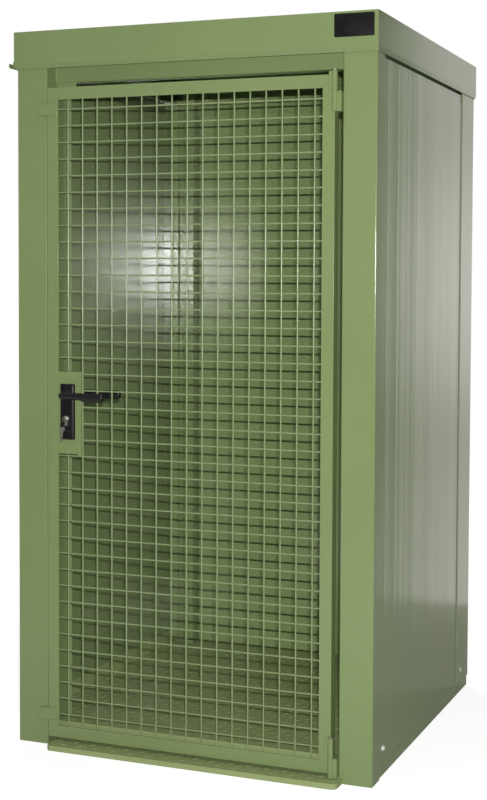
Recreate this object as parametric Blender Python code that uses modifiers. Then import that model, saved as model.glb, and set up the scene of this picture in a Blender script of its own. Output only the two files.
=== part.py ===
"""Gas cylinder cage: a folded sheet steel cabinet with a wire mesh door.

Metres, +Z up. The door faces -Y. The origin is on the floor, under the middle of the body.
"""
import math

import bmesh
import bpy
from mathutils import Matrix, Vector

# Body
body_width = 1.150
body_depth = 1.122
roof_height = 2.183
seat_gap = 0.0003

# Roof pan
roof_sheet = 0.002
roof_side_overhang = 0.0055
roof_front_overhang = 0.013
roof_rear_overhang = 0.0055
fascia_height = 0.098
lip_height = 0.0135
lip_clearance = 0.0015
vent_gap = 0.015
drip_reach = 0.017
drip_flange = 0.010
drip_depth = 0.0145
drip_fall = 0.006
drip_rim = 0.004

# Posts
post_sheet = 0.003
front_post_width = 0.101
front_post_side = 0.070
front_post_inner_depth = 0.127
front_post_return = 0.015
rear_post_width = 0.097
rear_post_side = 0.160
rear_post_inner_depth = 0.052
rear_post_return = 0.046
bend_radius = 0.004

# Walls, base and floor
wall_sheet = 0.002
wall_lap = 0.035
base_rail_height = 0.036
base_rail_depth = 0.040
side_rail_setback = 0.002
rear_rail_setback = 0.0105
base_sheet = 0.003
floor_height = 0.060
floor_sheet = 0.003
floor_flange_height = 0.045

# Threshold
ramp_reach = 0.056
ramp_height = 0.016
ramp_sheet = 0.003
ramp_corner_radius = 0.018
ramp_left_end_gap = 0.023
ramp_right_lap = 0.011
sill_end_gap = 0.004
sill_riser_setback = 0.050

# Top frame
top_rail_height = 0.050
top_rail_depth = 0.040
top_rail_sheet = 0.002
top_rail_drop = 0.045
roof_beam_count = 2
roof_beam_width = 0.040
lintel_setback = 0.056
lintel_height = 0.149

# Door leaf
door_gap_lock_side = 0.005
door_gap_hinge_side = 0.022
door_bottom = 0.0265
door_gap_top = 0.022
door_proud = 0.005
door_angle_face = 0.037
door_angle_depth = 0.035
door_angle_sheet = 0.004

# Wire mesh
wire_pitch_across = 0.0495
wire_pitch_up = 0.050
wire_size = 0.005
first_wire_from_left = 0.0674
first_wire_from_top = 0.0649
edge_wire_inset = 0.017
edge_wire_inset_right = 0.0162
edge_wire_inset_top = 0.0149
edge_wire_inset_bottom = 0.0206

# Lock and lever handle
lock_centre_from_left = 0.070
lever_height = 1.085
cylinder_drop = 0.072
lock_plate_width = 0.0665
lock_plate_below_lever = 0.181
lock_plate_above_lever = 0.069
lock_case_depth = 0.030
escutcheon_width = 0.0485
escutcheon_below_lever = 0.137
escutcheon_above_lever = 0.032
escutcheon_thickness = 0.009
escutcheon_chamfer = 0.006
lever_reach = 0.047
outer_lever_length = 0.150
inner_lever_length = 0.134
lever_radius = 0.0095
lever_bend_radius = 0.014
lever_grip_swell = 0.22
neck_clearance = 0.0003
spindle_radius = 0.0045
cylinder_radius = 0.0085
cylinder_length_out = 0.004
bore_sides = 16

# Hinges
hinge_radius = 0.008
hinge_pin_radius = 0.004
hinge_pin_clearance = 0.0003
hinge_pin_head_radius = 0.0065
hinge_pin_head_height = 0.004
hinge_stand_off = 0.0013
hinge_from_edge = 0.0025
hinge_knuckle = 0.056
hinge_knuckle_gap = 0.0005
hinge_strap_width = 0.020
hinge_strap_sheet = 0.003
upper_hinge_below_top = 0.104
lower_hinge_below_door = 0.008

# Stop lugs on the lock side
lug_width = 0.060
lug_height = 0.034
lug_sheet = 0.004
lug_lap = 0.024
upper_lug_below_top = 0.066
lower_lug_above_bottom = 0.0725

# Worked out from the sizes above
half_width = body_width / 2
half_depth = body_depth / 2
front_face = -half_depth
rear_face = half_depth
fascia_bottom = roof_height - fascia_height
lip_bottom = fascia_bottom - lip_height
wall_top = lip_bottom - vent_gap
roof_underside = roof_height - roof_sheet
doorway_half = half_width - front_post_width
lintel_bottom = roof_height - lintel_height
door_left = door_gap_lock_side - doorway_half
door_right = doorway_half - door_gap_hinge_side
door_top = lintel_bottom - door_gap_top
door_front = front_face - door_proud
door_flange_back = door_front + door_angle_sheet
mesh_plane = door_flange_back + seat_gap + wire_size / 2
lock_x = door_left + lock_centre_from_left
lock_plate_bottom = lever_height - lock_plate_below_lever
lock_plate_top = lever_height + lock_plate_above_lever
hinge_x = door_right + hinge_from_edge
hinge_y = door_front - hinge_stand_off - hinge_radius


def clear_scene():
    for item in list(bpy.data.objects):
        bpy.data.objects.remove(item)


def make_collection(name):
    collection = bpy.data.collections.new(name)
    bpy.context.scene.collection.children.link(collection)
    return collection


def make_material(name, colour, roughness, metallic):
    material = bpy.data.materials.new(name)
    material.use_nodes = True
    shader = material.node_tree.nodes["Principled BSDF"]
    shader.inputs["Base Color"].default_value = (*colour, 1.0)
    shader.inputs["Roughness"].default_value = roughness
    shader.inputs["Metallic"].default_value = metallic
    material.diffuse_color = (*colour, 1.0)
    return material


clear_scene()
cage = make_collection("gas_cylinder_cage")
cutters = make_collection("cutters")


def green_paint(name):
    return make_material(name + "_paint", (0.20, 0.27, 0.12), 0.45, 0.0)


def black_plastic(name):
    return make_material(name + "_plastic", (0.02, 0.02, 0.02), 0.4, 0.0)


def bright_steel(name):
    return make_material(name + "_steel", (0.62, 0.62, 0.60), 0.3, 1.0)


def add_mesh_object(name, mesh, material, place=(0, 0, 0)):
    item = bpy.data.objects.new(name, mesh)
    item.location = place
    mesh.materials.append(material)
    cage.objects.link(item)
    return item


def finish_bmesh(name, shape):
    bmesh.ops.recalc_face_normals(shape, faces=shape.faces)
    mesh = bpy.data.meshes.new(name)
    shape.to_mesh(mesh)
    shape.free()
    return mesh


def box_mesh(name, low, high):
    shape = bmesh.new()
    bmesh.ops.create_cube(shape, size=1.0)
    size = Vector(high) - Vector(low)
    bmesh.ops.scale(shape, vec=size, verts=shape.verts)
    return finish_bmesh(name, shape)


def middle(low, high):
    return (Vector(low) + Vector(high)) / 2


def add_box(name, low, high, material):
    return add_mesh_object(name, box_mesh(name, low, high), material, middle(low, high))


def add_cutter(name, mesh, place):
    cutter = bpy.data.objects.new(name, mesh)
    cutter.location = place
    cutter.display_type = "WIRE"
    cutter.hide_render = True
    cutters.objects.link(cutter)
    return cutter


def cylinder_mesh(name, radius, low, high, sides, axis):
    """A cylinder along an axis, centred on its own origin."""
    shape = bmesh.new()
    bmesh.ops.create_cone(shape, cap_ends=True, segments=sides, radius1=radius, radius2=radius, depth=high - low)
    if axis == "Y":
        bmesh.ops.rotate(shape, matrix=Matrix.Rotation(math.pi / 2, 3, "X"), verts=shape.verts)
    return finish_bmesh(name, shape)


def add_boolean(item, tool, operation):
    step = item.modifiers.new(operation.lower(), "BOOLEAN")
    step.operation = operation
    step.object = tool
    step.solver = "EXACT"


def rounded_path(points, radius, steps=2):
    """The points of an open path with its inner corners turned into short arcs."""
    path = [Vector(points[0])]
    for before, corner, after in zip(points, points[1:], points[2:]):
        corner = Vector(corner)
        to_before = (Vector(before) - corner).normalized()
        to_after = (Vector(after) - corner).normalized()
        half_angle = to_before.angle(to_after) / 2
        setback = radius / math.tan(half_angle)
        bisector = (to_before + to_after).normalized()
        centre = corner + bisector * (radius / math.sin(half_angle))
        start = corner + to_before * setback - centre
        end = corner + to_after * setback - centre
        for step in range(steps + 1):
            share = step / steps
            spoke = start.lerp(end, share)
            path.append(centre + spoke.normalized() * radius)
    path.append(Vector(points[-1]))
    return path


def place_profile_point(point, distance, axis):
    first, second = point
    if axis == "X":
        return Vector((distance, first, second))
    if axis == "Y":
        return Vector((first, distance, second))
    return Vector((first, second, distance))


def thicken_sheet(item, sheet, side):
    thicken = item.modifiers.new("thickness", "SOLIDIFY")
    thicken.thickness = sheet
    thicken.offset = side
    thicken.use_even_offset = True


def add_folded_sheet(name, outline, axis, start, end, sheet, side, material, radius=bend_radius):
    """A bent sheet: the outline is its outer face, and side says which way it thickens."""
    shape = bmesh.new()
    path = rounded_path(outline, radius)
    corners = [shape.verts.new(place_profile_point(point, start, axis)) for point in path]
    edges = [shape.edges.new(pair) for pair in zip(corners, corners[1:])]
    grown = bmesh.ops.extrude_edge_only(shape, edges=edges)
    moved = [part for part in grown["geom"] if isinstance(part, bmesh.types.BMVert)]
    shift = place_profile_point((0, 0), end - start, axis)
    bmesh.ops.translate(shape, vec=shift, verts=moved)
    mesh = bpy.data.meshes.new(name)
    shape.to_mesh(mesh)
    shape.free()
    item = add_mesh_object(name, mesh, material)
    thicken_sheet(item, sheet, side)
    return item


def mirrored(points, sign):
    return [(sign * x, y) for x, y in points]


def build_front_posts():
    outline = [
        (half_width, front_face + front_post_side),
        (half_width, front_face),
        (doorway_half, front_face),
        (doorway_half, front_face + front_post_inner_depth),
        (doorway_half + front_post_return, front_face + front_post_inner_depth),
    ]
    top = roof_underside - seat_gap
    for side, sign in (("left", -1), ("right", 1)):
        name = f"front_{side}_post"
        add_folded_sheet(name, mirrored(outline, sign), "Z", 0, top, post_sheet, -sign, green_paint(name))


def build_rear_posts():
    inner_x = half_width - rear_post_width
    inner_y = rear_face - rear_post_inner_depth
    outline = [
        (half_width, rear_face - rear_post_side),
        (half_width, rear_face),
        (inner_x, rear_face),
        (inner_x, inner_y),
        (inner_x + rear_post_return, inner_y),
    ]
    bottom = base_rail_height + seat_gap
    top = roof_underside - seat_gap
    for side, sign in (("left", -1), ("right", 1)):
        name = f"rear_{side}_post"
        add_folded_sheet(name, mirrored(outline, sign), "Z", bottom, top, post_sheet, sign, green_paint(name))


def build_walls():
    outer = half_width - post_sheet - seat_gap
    inner = outer - wall_sheet
    front = front_face + front_post_side - wall_lap
    rear = rear_face - rear_post_side + wall_lap
    bottom = base_rail_height + seat_gap
    for side, sign in (("left", -1), ("right", 1)):
        name = f"{side}_wall"
        low = (min(sign * inner, sign * outer), front, bottom)
        high = (max(sign * inner, sign * outer), rear, wall_top)
        add_box(name, low, high, green_paint(name))
    rear_outer = rear_face - post_sheet - seat_gap
    reach = half_width - rear_post_width - seat_gap
    low = (-reach, rear_outer - wall_sheet, bottom)
    high = (reach, rear_outer, wall_top)
    add_box("rear_wall", low, high, green_paint("rear_wall"))


def build_base_rails():
    outer = half_width - side_rail_setback
    inner = outer - base_rail_depth
    outline = [(inner, 0), (outer, 0), (outer, base_rail_height), (inner, base_rail_height)]
    front = front_face + front_post_side + seat_gap
    rear = rear_face - rear_rail_setback
    for side, sign in (("left", -1), ("right", 1)):
        name = f"{side}_base_rail"
        add_folded_sheet(
            name, mirrored(outline, sign), "Y", front, rear, base_sheet, -sign, green_paint(name)
        )
    outline = [
        (rear - base_rail_depth, 0),
        (rear, 0),
        (rear, base_rail_height),
        (rear - base_rail_depth, base_rail_height),
    ]
    reach = inner - seat_gap
    add_folded_sheet(
        "rear_base_rail", outline, "X", -reach, reach, base_sheet, 1, green_paint("rear_base_rail")
    )


def build_floor():
    side = half_width - post_sheet - wall_sheet - 3 * seat_gap
    underside = floor_height - floor_sheet
    flange_top = floor_height + floor_flange_height
    front = front_face + front_post_inner_depth + seat_gap
    rear = rear_face - post_sheet - wall_sheet - 3 * seat_gap
    outline = [(-side, flange_top), (-side, underside), (side, underside), (side, flange_top)]
    tray = add_folded_sheet("floor_tray", outline, "Y", front, rear, floor_sheet, -1, green_paint("floor_tray"))
    for sign in (-1, 1):
        notch_inner = sign * (half_width - rear_post_width - seat_gap)
        notch_outer = sign * half_width
        low = (min(notch_inner, notch_outer), rear_face - rear_post_inner_depth - seat_gap, 0)
        high = (max(notch_inner, notch_outer), rear_face, flange_top + floor_sheet)
        notch = add_cutter("floor_notch", box_mesh("floor_notch", low, high), middle(low, high))
        add_boolean(tray, notch, "DIFFERENCE")


def build_ramp():
    """The tread in front of the doorway, with a lip down to the floor and round corners."""
    nose = front_face - ramp_reach
    post_clearance = front_face - seat_gap
    back = front_face + sill_riser_setback - seat_gap
    left = ramp_left_end_gap - doorway_half
    right = doorway_half + ramp_right_lap
    inner_right = doorway_half - sill_end_gap
    lip = rounded_path([(left, back), (left, nose), (right, nose), (right, post_clearance)], ramp_corner_radius, 6)
    plan = lip + [Vector((inner_right, post_clearance)), Vector((inner_right, back))]
    shape = bmesh.new()
    tread = [shape.verts.new((x, y, ramp_height)) for x, y in plan]
    foot = [shape.verts.new((x, y, 0)) for x, y in lip]
    shape.faces.new(tread)
    for number in range(len(lip) - 1):
        shape.faces.new((tread[number + 1], tread[number], foot[number], foot[number + 1]))
    bmesh.ops.recalc_face_normals(shape, faces=shape.faces)
    mesh = bpy.data.meshes.new("threshold_ramp")
    shape.to_mesh(mesh)
    shape.free()
    ramp = add_mesh_object("threshold_ramp", mesh, green_paint("threshold_ramp"))
    thicken_sheet(ramp, ramp_sheet, -1)


def build_sill():
    riser = front_face + sill_riser_setback
    rear = front_face + front_post_inner_depth
    outline = [(riser, 0), (riser, floor_height), (rear, floor_height)]
    reach = doorway_half - sill_end_gap
    add_folded_sheet("threshold_sill", outline, "X", -reach, reach, ramp_sheet, -1, green_paint("threshold_sill"))


def build_top_frame():
    top = roof_underside - top_rail_drop
    bottom = top - top_rail_height
    outer = half_width - post_sheet - seat_gap
    inner = outer - top_rail_depth
    outline = [(inner, bottom), (outer, bottom), (outer, top), (inner, top)]
    front = front_face + front_post_inner_depth + seat_gap
    rear = rear_face - post_sheet - bend_radius
    for side, sign in (("left", -1), ("right", 1)):
        name = f"{side}_top_rail"
        add_folded_sheet(
            name, mirrored(outline, sign), "Y", front, rear, top_rail_sheet, -sign, green_paint(name)
        )
    outline = [
        (rear - top_rail_depth, bottom),
        (rear, bottom),
        (rear, top),
        (rear - top_rail_depth, top),
    ]
    reach = half_width - rear_post_width - seat_gap
    add_folded_sheet(
        "rear_top_rail", outline, "X", -reach, reach, top_rail_sheet, 1, green_paint("rear_top_rail")
    )
    lintel_face = front_face + lintel_setback
    outline = [
        (lintel_face + top_rail_depth, lintel_bottom),
        (lintel_face, lintel_bottom),
        (lintel_face, roof_underside - seat_gap),
        (lintel_face + top_rail_depth, roof_underside - seat_gap),
    ]
    reach = doorway_half - seat_gap
    add_folded_sheet("lintel", outline, "X", -reach, reach, top_rail_sheet, -1, green_paint("lintel"))
    build_roof_beams(top + seat_gap, outer)


def build_roof_beams(bottom, reach):
    top = roof_underside - seat_gap
    spacing = body_depth / (roof_beam_count + 1)
    for number in range(roof_beam_count):
        centre = -half_depth + spacing * (number + 1)
        half = roof_beam_width / 2
        outline = [(centre - half, bottom), (centre - half, top), (centre + half, top), (centre + half, bottom)]
        name = f"roof_beam_{number + 1}"
        add_folded_sheet(name, outline, "X", -reach, reach, top_rail_sheet, -1, green_paint(name))


def roof_ring(shape, height, side_reach, front_reach, rear_reach):
    left = -half_width - side_reach
    right = half_width + side_reach
    front = front_face - front_reach
    rear = rear_face + rear_reach
    corners = [(left, front), (right, front), (right, rear), (left, rear)]
    return [shape.verts.new((x, y, height)) for x, y in corners]


def build_roof():
    """The lid: a flat top, a deep fascia and a lip that leans in below it."""
    shape = bmesh.new()
    overhangs = (roof_side_overhang, roof_front_overhang, roof_rear_overhang)
    top_ring = roof_ring(shape, roof_height, *overhangs)
    fascia_ring = roof_ring(shape, fascia_bottom, *overhangs)
    lip_reach = roof_sheet + lip_clearance
    lip_ring = roof_ring(shape, lip_bottom, lip_reach, lip_reach, lip_reach)
    shape.faces.new(top_ring)
    for upper, lower in ((top_ring, fascia_ring), (fascia_ring, lip_ring)):
        for number in range(4):
            after = (number + 1) % 4
            shape.faces.new((upper[number], lower[number], lower[after], upper[after]))
    bmesh.ops.recalc_face_normals(shape, faces=shape.faces)
    mesh = bpy.data.meshes.new("roof_pan")
    shape.to_mesh(mesh)
    shape.free()
    roof = add_mesh_object("roof_pan", mesh, green_paint("roof_pan"))
    thicken_sheet(roof, roof_sheet, -1)


def build_drip_rail():
    face = -half_width - roof_side_overhang - seat_gap
    tip = face - drip_reach
    bottom = fascia_bottom - drip_depth
    outline = [
        (face, fascia_bottom + drip_flange),
        (face, bottom),
        (tip, bottom + drip_fall),
        (tip, fascia_bottom + drip_rim),
    ]
    front = front_face - roof_front_overhang
    rear = rear_face + roof_rear_overhang
    add_folded_sheet("left_drip_rail", outline, "Y", front, rear, roof_sheet, 1, green_paint("left_drip_rail"))


def add_mitred_angle(name, start, end, inward, material):
    """One member of the door frame: an angle whose ends are cut at 45 degrees."""
    start = Vector(start)
    end = Vector(end)
    along = (end - start).normalized()
    inward = Vector(inward)
    back = Vector((0, 1, 0))
    section = [
        (0, 0),
        (door_angle_face, 0),
        (door_angle_face, door_angle_sheet),
        (door_angle_sheet, door_angle_sheet),
        (door_angle_sheet, door_angle_depth),
        (0, door_angle_depth),
    ]
    shape = bmesh.new()
    rings = []
    for corner, direction in ((start, along), (end, -along)):
        ring = []
        for across, depth in section:
            mitre = across + seat_gap / 2
            ring.append(shape.verts.new(corner + inward * across + back * depth + direction * mitre))
        rings.append(ring)
    first, last = rings
    shape.faces.new(first)
    shape.faces.new(reversed(last))
    for number in range(len(section)):
        after = (number + 1) % len(section)
        shape.faces.new((first[number], first[after], last[after], last[number]))
    add_mesh_object(name, finish_bmesh(name, shape), material)


def build_door_frame():
    bottom_left = (door_left, door_front, door_bottom)
    bottom_right = (door_right, door_front, door_bottom)
    top_left = (door_left, door_front, door_top)
    top_right = (door_right, door_front, door_top)
    members = [
        ("door_left_stile", bottom_left, top_left, (1, 0, 0)),
        ("door_right_stile", bottom_right, top_right, (-1, 0, 0)),
        ("door_top_rail", top_left, top_right, (0, 0, -1)),
        ("door_bottom_rail", bottom_left, bottom_right, (0, 0, 1)),
    ]
    for name, start, end, inward in members:
        add_mitred_angle(name, start, end, inward, green_paint(name))


def wire_places():
    """X of each upright wire and Z of each level wire, with the edge wires behind the frame."""
    first_x = door_left + first_wire_from_left
    last_x = door_right - edge_wire_inset_right
    columns = math.ceil((last_x - first_x - 2 * wire_size) / wire_pitch_across)
    uprights = [door_left + edge_wire_inset]
    uprights += [first_x + wire_pitch_across * number for number in range(columns)]
    uprights.append(last_x)
    first_z = door_top - first_wire_from_top
    last_z = door_bottom + edge_wire_inset_bottom
    rows = math.ceil((first_z - last_z - 2 * wire_size) / wire_pitch_up)
    levels = [door_top - edge_wire_inset_top]
    levels += [first_z - wire_pitch_up * number for number in range(rows)]
    levels.append(last_z)
    return uprights, levels


def lattice_mesh(name):
    """The flat net of wire centre lines, one face for each hole."""
    uprights, levels = wire_places()
    shape = bmesh.new()
    bmesh.ops.create_grid(shape, x_segments=len(uprights) - 1, y_segments=len(levels) - 1, size=0.5)
    across = sorted({round(vert.co.x, 5) for vert in shape.verts})
    upward = sorted({round(vert.co.y, 5) for vert in shape.verts})
    rising = sorted(levels)
    for vert in shape.verts:
        column = across.index(round(vert.co.x, 5))
        row = upward.index(round(vert.co.y, 5))
        vert.co = (uprights[column], mesh_plane, rising[row])
    return finish_bmesh(name, shape)


def build_door_mesh():
    uprights, levels = wire_places()
    split = (levels[len(levels) // 2 - 1] + levels[len(levels) // 2]) / 2
    margin = wire_pitch_up
    low_x = door_left - margin
    high_x = door_right + margin
    front = mesh_plane - margin
    back = mesh_plane + margin
    halves = [
        ("door_mesh_upper", split + seat_gap / 2, door_top + margin),
        ("door_mesh_lower", door_bottom - margin, split - seat_gap / 2),
    ]
    lock_low = (door_left + door_angle_sheet, front, lock_plate_bottom - seat_gap)
    lock_high = (lock_plate_right() + seat_gap, back, lock_plate_top + seat_gap)
    lock_hole = add_cutter("lock_cut_out", box_mesh("lock_cut_out", lock_low, lock_high), middle(lock_low, lock_high))
    for name, bottom, top in halves:
        item = add_mesh_object(name, lattice_mesh(name), green_paint(name))
        wires = item.modifiers.new("wires", "WIREFRAME")
        wires.thickness = wire_size
        wires.use_even_offset = True
        wires.use_boundary = True
        low = (low_x, front, bottom)
        high = (high_x, back, top)
        keep = add_cutter(name + "_extent", box_mesh(name + "_extent", low, high), middle(low, high))
        add_boolean(item, keep, "INTERSECT")
        add_boolean(item, lock_hole, "DIFFERENCE")


def lock_plate_left():
    return door_left + door_angle_face + seat_gap


def lock_plate_right():
    return lock_plate_left() + lock_plate_width


def lock_cutters():
    """Bores for the lever neck and the lock cylinder, through plate, case and escutcheons."""
    front = door_front - 0.1
    back = door_front + 0.1
    neck = cylinder_mesh("neck_bore", lever_radius + neck_clearance, front, back, bore_sides, "Y")
    barrel = cylinder_mesh("cylinder_bore", cylinder_radius + seat_gap, front, back, bore_sides, "Y")
    place = (lock_x, door_front, lever_height)
    neck_bore = add_cutter("neck_bore", neck, place)
    place = (lock_x, door_front, lever_height - cylinder_drop)
    cylinder_bore = add_cutter("cylinder_bore", barrel, place)
    return neck_bore, cylinder_bore


def add_escutcheon(name, seat, direction):
    """A long backplate whose front is chamfered down to its long edges."""
    half = escutcheon_width / 2
    face = seat + direction * escutcheon_thickness
    rim = seat + direction * escutcheon_thickness / 2
    outline = [
        (lock_x - half, seat),
        (lock_x + half, seat),
        (lock_x + half, rim),
        (lock_x + half - escutcheon_chamfer, face),
        (lock_x - half + escutcheon_chamfer, face),
        (lock_x - half, rim),
    ]
    shape = bmesh.new()
    base = shape.faces.new([shape.verts.new((x, y, lever_height - escutcheon_below_lever)) for x, y in outline])
    grown = bmesh.ops.extrude_face_region(shape, geom=[base])
    moved = [part for part in grown["geom"] if isinstance(part, bmesh.types.BMVert)]
    rise = Vector((0, 0, escutcheon_below_lever + escutcheon_above_lever))
    bmesh.ops.translate(shape, vec=rise, verts=moved)
    return add_mesh_object(name, finish_bmesh(name, shape), black_plastic(name))


def build_lock():
    bores = lock_cutters()
    plate_back = door_front + door_angle_sheet
    plate = add_box(
        "lock_plate",
        (lock_plate_left(), door_front, lock_plate_bottom),
        (lock_plate_right(), plate_back, lock_plate_top),
        green_paint("lock_plate"),
    )
    case_front = plate_back + seat_gap
    case_back = case_front + lock_case_depth
    case = add_box(
        "lock_case",
        (door_left + door_angle_sheet + seat_gap, case_front, lock_plate_bottom),
        (lock_plate_right(), case_back, lock_plate_top),
        green_paint("lock_case"),
    )
    outer_back = door_front - seat_gap
    outer = add_escutcheon("outer_escutcheon", outer_back, -1)
    inner_front = case_back + seat_gap
    inner = add_escutcheon("inner_escutcheon", inner_front, 1)
    for item in (plate, case, outer, inner):
        for bore in bores:
            add_boolean(item, bore, "DIFFERENCE")
    build_lock_cylinder(outer_back - escutcheon_thickness, inner_front + escutcheon_thickness)
    build_handle(outer_back - escutcheon_thickness, inner_front + escutcheon_thickness)


def build_lock_cylinder(outer_face, inner_face):
    low = outer_face - cylinder_length_out
    high = inner_face + cylinder_length_out
    mesh = cylinder_mesh("lock_cylinder", cylinder_radius, low, high, bore_sides, "Y")
    place = (lock_x, (low + high) / 2, lever_height - cylinder_drop)
    add_mesh_object("lock_cylinder", mesh, bright_steel("lock_cylinder"), place)


def lever_path(start, direction, lever_length):
    """Points of a lever's middle line with a thickness factor for each: a swelling grip and a domed tip."""
    reach = start + direction * lever_reach
    path = rounded_path([(0, start), (0, reach), (lever_length, reach)], lever_bend_radius, 4)
    places = [(point, 1.0) for point in path[:-1]]
    grip_start = places[-1][0].x
    dome_start = lever_length - lever_radius
    steps = 5
    for step in range(1, steps + 1):
        share = step / steps
        swell = 1 + lever_grip_swell * math.sin(math.pi * share * 0.75)
        places.append((Vector((grip_start + (dome_start - grip_start) * share, reach)), swell))
    tip_swell = places[-1][1]
    for step in range(1, 4):
        angle = math.radians(25 * step)
        x = dome_start + lever_radius * math.sin(angle)
        places.append((Vector((x, reach)), tip_swell * math.cos(angle)))
    return places


def lever_mesh(name, start, direction, length):
    """A round bar that leaves the escutcheon, turns and runs sideways."""
    curve = bpy.data.curves.new(name + "_bar", "CURVE")
    curve.dimensions = "3D"
    curve.bevel_depth = lever_radius
    curve.bevel_resolution = 2
    curve.use_fill_caps = True
    path = lever_path(start, direction, length)
    spline = curve.splines.new("POLY")
    spline.points.add(len(path) - 1)
    for point, (place, thickness) in zip(spline.points, path):
        point.co = (place.x, place.y, 0, 1)
        point.radius = thickness
    item = bpy.data.objects.new(name + "_bar", curve)
    cage.objects.link(item)
    graph = bpy.context.evaluated_depsgraph_get()
    mesh = bpy.data.meshes.new_from_object(item.evaluated_get(graph))
    bpy.data.objects.remove(item)
    shape = bmesh.new()
    shape.from_mesh(mesh)
    bmesh.ops.remove_doubles(shape, verts=shape.verts, dist=0.00001)
    bmesh.ops.recalc_face_normals(shape, faces=shape.faces)
    shape.to_mesh(mesh)
    shape.free()
    return mesh


def build_handle(outer_face, inner_face):
    pivot = (lock_x, 0, lever_height)
    outer_start = outer_face + escutcheon_thickness / 2
    inner_start = inner_face - escutcheon_thickness / 2
    levers = [
        ("outer_lever", outer_start, -1, outer_lever_length),
        ("inner_lever", inner_start, 1, inner_lever_length),
    ]
    for name, start, direction, length in levers:
        add_mesh_object(name, lever_mesh(name, start, direction, length), black_plastic(name), pivot)
    low = outer_start + seat_gap
    high = inner_start - seat_gap
    mesh = cylinder_mesh("lever_spindle", spindle_radius, low, high, 8, "Y")
    place = (lock_x, (low + high) / 2, lever_height)
    add_mesh_object("lever_spindle", mesh, bright_steel("lever_spindle"), place)


def build_hinge(name, bottom):
    """A lift-off hinge: the post carries the lower knuckle and pin, the door the upper knuckle."""
    split = bottom + hinge_knuckle
    top = split + hinge_knuckle_gap + hinge_knuckle
    bore_radius = hinge_pin_radius + hinge_pin_clearance
    bore = cylinder_mesh(name + "_bore", bore_radius, bottom - 0.01, top + 0.01, 12, "Z")
    bore_tool = add_cutter(name + "_bore", bore, (hinge_x, hinge_y, (bottom + top) / 2))

    post_name = name + "_post_half"
    knuckle = cylinder_mesh(post_name, hinge_radius, bottom, split, bore_sides, "Z")
    post_half = add_mesh_object(post_name, knuckle, green_paint(post_name), (hinge_x, hinge_y, (bottom + split) / 2))
    lug_high = (doorway_half - seat_gap, front_face + hinge_strap_width, split)
    lug_low = (hinge_x, hinge_y - hinge_strap_sheet / 2, bottom)
    lug = add_cutter(post_name + "_lug", box_mesh(post_name + "_lug", lug_low, lug_high), middle(lug_low, lug_high))
    add_boolean(post_half, lug, "UNION")
    add_boolean(post_half, bore_tool, "DIFFERENCE")

    door_name = name + "_door_half"
    low = split + hinge_knuckle_gap
    knuckle = cylinder_mesh(door_name, hinge_radius, low, top, bore_sides, "Z")
    door_half = add_mesh_object(door_name, knuckle, green_paint(door_name), (hinge_x, hinge_y, (low + top) / 2))
    strap_high = (hinge_x, door_front - seat_gap, top)
    strap_low = (hinge_x - hinge_strap_width, strap_high[1] - hinge_strap_sheet, low)
    strap = add_cutter(
        door_name + "_strap", box_mesh(door_name + "_strap", strap_low, strap_high), middle(strap_low, strap_high)
    )
    add_boolean(door_half, strap, "UNION")
    add_boolean(door_half, bore_tool, "DIFFERENCE")

    pin_name = name + "_pin"
    pin_bottom = bottom + hinge_knuckle_gap
    pin_top = top + hinge_knuckle_gap
    pin_mesh = cylinder_mesh(pin_name, hinge_pin_radius, pin_bottom, pin_top + hinge_pin_head_height / 2, 12, "Z")
    pin_middle = (pin_bottom + pin_top + hinge_pin_head_height / 2) / 2
    pin = add_mesh_object(pin_name, pin_mesh, bright_steel(pin_name), (hinge_x, hinge_y, pin_middle))
    head_top = pin_top + hinge_pin_head_height
    head = cylinder_mesh(pin_name + "_head", hinge_pin_head_radius, pin_top, head_top, 16, "Z")
    head_tool = add_cutter(pin_name + "_head", head, (hinge_x, hinge_y, (pin_top + head_top) / 2))
    add_boolean(pin, head_tool, "UNION")


def build_stop_lugs():
    left = -doorway_half - lug_lap
    back = door_front - seat_gap
    upper_centre = door_top - upper_lug_below_top
    lower_centre = door_bottom + lower_lug_above_bottom
    for name, centre in (("upper_stop_lug", upper_centre), ("lower_stop_lug", lower_centre)):
        low = (left, back - lug_sheet, centre - lug_height / 2)
        high = (left + lug_width, back, centre + lug_height / 2)
        add_box(name, low, high, green_paint(name))


def add_pivot(name, place):
    pivot = bpy.data.objects.new(name, None)
    pivot.location = place
    pivot.empty_display_size = 0.1
    cage.objects.link(pivot)
    return pivot


def carry(items, pivot):
    """Parent the items to an empty without moving them."""
    for item in items:
        item.parent = pivot
        item.matrix_parent_inverse = Matrix.Translation(pivot.location).inverted()


def is_handle_piece(name):
    return name in ("outer_lever", "inner_lever", "lever_spindle")


def is_door_piece(name):
    fixed_to_leaf = name.startswith(("door_", "lock_")) or name.endswith(("_escutcheon", "_stop_lug"))
    return fixed_to_leaf or name.endswith("_hinge_door_half")


def hang_on_pivots():
    """The door turns about its hinge line, the levers about their spindle."""
    pieces = [item for item in cage.objects if item.type == "MESH"]
    tools = list(cutters.objects)
    origin = add_pivot("cage_origin", (0, 0, 0))
    door_pivot = add_pivot("door_hinge_line", (hinge_x, hinge_y, 0))
    lever_pivot = add_pivot("lever_axis", (lock_x, door_front, lever_height))
    handle = [item for item in pieces if is_handle_piece(item.name)]
    door = [item for item in pieces if is_door_piece(item.name)]
    fixed = [item for item in pieces if item not in handle and item not in door]
    carry(handle, lever_pivot)
    carry(door + [lever_pivot], door_pivot)
    carry(fixed + tools + [door_pivot], origin)
    return origin


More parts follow.
